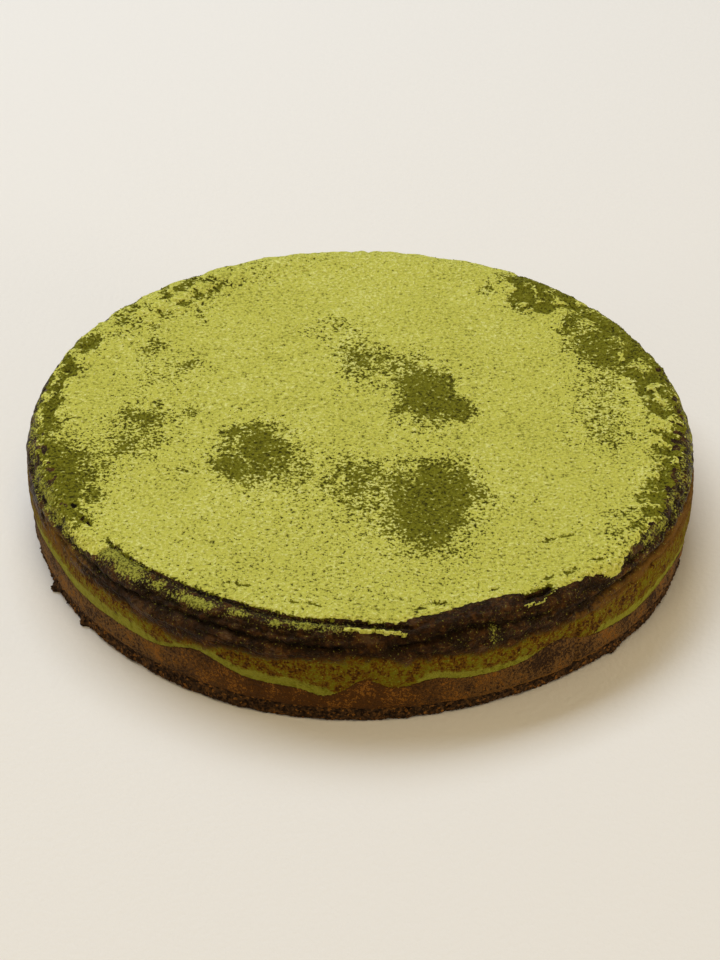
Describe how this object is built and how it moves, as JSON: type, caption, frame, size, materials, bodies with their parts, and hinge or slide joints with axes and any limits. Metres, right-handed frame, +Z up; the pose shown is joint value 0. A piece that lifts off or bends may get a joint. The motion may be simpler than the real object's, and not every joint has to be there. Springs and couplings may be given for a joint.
{
  "type": "matcha cheesecake",
  "caption": "Whole round baked matcha cheesecake: dark crumb base, brown layer, green layer with a folded dark rind and a dusting of green powder on top.",
  "frame": {"origin": "under the middle of the cake, on the surface it rests on", "axes": "+Z up out of the cake's top, -Y towards the side that the picture shows in front, +X to its right"},
  "size_m": [0.2436, 0.247, 0.0398],
  "materials": {
    "crumb_base": "dark pressed biscuit crumbs, dry and rough",
    "brown_layer": "baked brown cream cheese layer, matte, finely pitted",
    "matcha_layer": "green baked cream, dark waxy rind, dry green powder on top"
  },
  "bodies": {
    "root": {"crumb_base": "crumb_base", "brown_layer": "brown_layer", "matcha_layer": "matcha_layer"}
  },
  "joints": []
}
